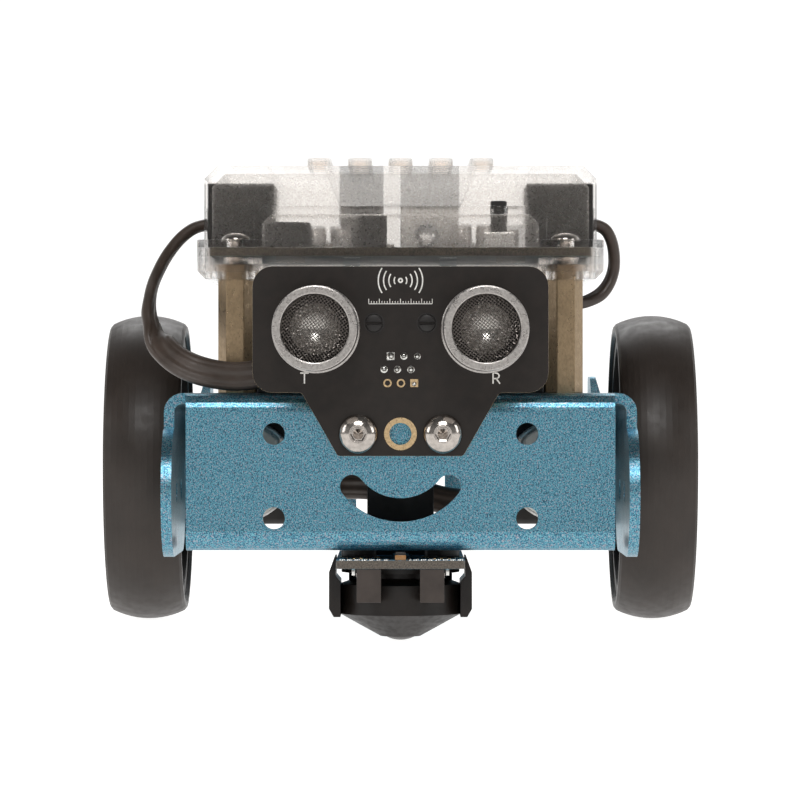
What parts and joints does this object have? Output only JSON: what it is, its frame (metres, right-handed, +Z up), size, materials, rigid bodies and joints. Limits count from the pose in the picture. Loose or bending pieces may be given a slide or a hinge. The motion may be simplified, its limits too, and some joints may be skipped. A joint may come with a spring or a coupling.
{
  "type": "two-wheeled educational robot",
  "caption": "Two-wheeled programmable robot on a bent metal chassis, with geared motor drive, distance sensor on the front, line sensor, ball caster, battery pack and cased controller.",
  "frame": {"origin": "on the floor, under the middle of the robot's box without its cables", "axes": "+Z up, -Y the way the robot faces, +X the robot's own left"},
  "size_m": [0.122, 0.17, 0.094],
  "materials": {
    "anodised_blue": "bead-blasted and anodised blue, satin",
    "tyre_rubber": "slick black rubber",
    "hub_plastic": "moulded black plastic",
    "screw_steel": "nickel-plated steel",
    "gear_nylon": "natural nylon",
    "brass": "machined brass",
    "gearbox_plastic": "moulded black plastic",
    "motor_steel": "drawn steel can",
    "motor_cap_plastic": "white plastic",
    "smoke_plastic": "smoky translucent plastic, frosted inside",
    "board_dark": "solder-masked circuit board",
    "jack_plastic": "black plastic",
    "port_steel": "tin-plated steel",
    "button_plastic": "black plastic",
    "chip_plastic": "black epoxy packages",
    "led_lens": "clear lens",
    "board_black": "black solder-masked circuit board",
    "can_metal": "bare aluminium can",
    "can_mesh": "dark woven wire screen",
    "board_blue": "blue solder-masked circuit board",
    "sensor_eye": "black sensor package",
    "spacer_plastic": "black nylon",
    "caster_plastic": "black plastic",
    "ball_nylon": "black nylon",
    "holder_plastic": "black plastic",
    "battery_wrap": "printed film over steel",
    "contact_metal": "nickel-plated spring steel",
    "cable_jacket": "flat ribbed PVC jacket",
    "plug_clear": "clear polycarbonate"
  },
  "bodies": {
    "frame": {"chassis": "anodised_blue", "left_gearbox_inner": "gearbox_plastic", "right_gearbox_inner": "gearbox_plastic", "left_gearbox_outer": "gearbox_plastic", "right_gearbox_outer": "gearbox_plastic", "gear_pins": "screw_steel", "motor_cans": "motor_steel", "motor_caps": "motor_cap_plastic", "motor_screws": "screw_steel", "nuts": "screw_steel", "standoffs": "brass", "standoff_screws": "screw_steel", "case_base": "smoke_plastic", "case_cover": "smoke_plastic", "controller_board": "board_dark", "cable_jacks": "jack_plastic", "usb_port": "port_steel", "power_jack": "jack_plastic", "power_switch_body": "port_steel", "button_bodies": "port_steel", "board_chips": "chip_plastic", "buzzer": "chip_plastic", "ir_receiver": "chip_plastic", "board_leds": "led_lens", "sensor_board": "board_black", "transmitter_can": "can_metal", "receiver_can": "can_metal", "can_screens": "can_mesh", "module_jacks": "jack_plastic", "sensor_screws": "screw_steel", "line_board": "board_blue", "line_eyes": "sensor_eye", "line_spacers": "spacer_plastic", "caster_housing": "caster_plastic", "caster_screws": "screw_steel", "battery_holder": "holder_plastic", "battery_cells": "battery_wrap", "battery_contacts": "contact_metal", "sensor_cable": "cable_jacket", "sensor_cable_plugs": "plug_clear", "line_cable": "cable_jacket", "line_cable_plugs": "plug_clear"},
    "left_wheel": {"left_tyre": "tyre_rubber", "left_hub": "hub_plastic", "left_wheel_screw": "screw_steel", "left_output_gear": "gear_nylon"},
    "left_second": {"left_second_gear": "gear_nylon"},
    "left_crown": {"left_crown_gear": "gear_nylon"},
    "left_rotor": {"left_motor_pinion": "brass"},
    "right_wheel": {"right_tyre": "tyre_rubber", "right_hub": "hub_plastic", "right_wheel_screw": "screw_steel", "right_output_gear": "gear_nylon"},
    "right_second": {"right_second_gear": "gear_nylon"},
    "right_crown": {"right_crown_gear": "gear_nylon"},
    "right_rotor": {"right_motor_pinion": "brass"},
    "ball": {"caster_ball": "ball_nylon"},
    "mode_cap": {"mode_button": "button_plastic"},
    "reset_cap": {"reset_button": "button_plastic"},
    "switch_knob": {"power_switch_slider": "jack_plastic"}
  },
  "joints": [
    {"name": "left_wheel_spin", "type": "hinge", "parent": "frame", "child": "left_wheel", "pos_m": [0.053, 0.0236, 0.032], "axis": [1, 0, 0], "continuous": true},
    {"name": "left_second_spin", "type": "hinge", "parent": "frame", "child": "left_second", "pos_m": [0.03, 0.0154, 0.032], "axis": [1, 0, 0], "continuous": true},
    {"name": "left_crown_spin", "type": "hinge", "parent": "frame", "child": "left_crown", "pos_m": [0.028, 0.007, 0.032], "axis": [1, 0, 0], "continuous": true},
    {"name": "left_rotor_spin", "type": "hinge", "parent": "frame", "child": "left_rotor", "pos_m": [0.0316, -0.0064, 0.032], "axis": [0, 1, 0], "continuous": true},
    {"name": "right_wheel_spin", "type": "hinge", "parent": "frame", "child": "right_wheel", "pos_m": [-0.053, 0.0236, 0.032], "axis": [1, 0, 0], "continuous": true},
    {"name": "right_second_spin", "type": "hinge", "parent": "frame", "child": "right_second", "pos_m": [-0.03, 0.0154, 0.032], "axis": [1, 0, 0], "continuous": true},
    {"name": "right_crown_spin", "type": "hinge", "parent": "frame", "child": "right_crown", "pos_m": [-0.028, 0.007, 0.032], "axis": [1, 0, 0], "continuous": true},
    {"name": "right_rotor_spin", "type": "hinge", "parent": "frame", "child": "right_rotor", "pos_m": [-0.0316, -0.0064, 0.032], "axis": [0, 1, 0], "continuous": true},
    {"name": "caster_ball_roll", "type": "hinge", "parent": "frame", "child": "ball", "pos_m": [0, -0.0544, 0.006], "axis": [1, 0, 0], "continuous": true},
    {"name": "mode_button_press", "type": "slide", "parent": "frame", "child": "mode_cap", "axis": [0, 0, -1], "range_m": [0, 0.00035], "stiffness_N_per_m": 400, "springref_m": -0.0004},
    {"name": "reset_button_press", "type": "slide", "parent": "frame", "child": "reset_cap", "axis": [0, -1, 0], "range_m": [0, 0.00035], "stiffness_N_per_m": 400, "springref_m": -0.0004},
    {"name": "power_switch_slide", "type": "slide", "parent": "frame", "child": "switch_knob", "axis": [1, 0, 0], "range_m": [0, 0.0024]}
  ],
  "couplings": [
    {"joint": "left_second_spin", "follows": "left_wheel_spin", "ratio": -3.5556},
    {"joint": "left_crown_spin", "follows": "left_wheel_spin", "ratio": 11.378},
    {"joint": "left_rotor_spin", "follows": "left_wheel_spin", "ratio": -48.356},
    {"joint": "right_second_spin", "follows": "right_wheel_spin", "ratio": -3.5556},
    {"joint": "right_crown_spin", "follows": "right_wheel_spin", "ratio": 11.378},
    {"joint": "right_rotor_spin", "follows": "right_wheel_spin", "ratio": 48.356}
  ]
}
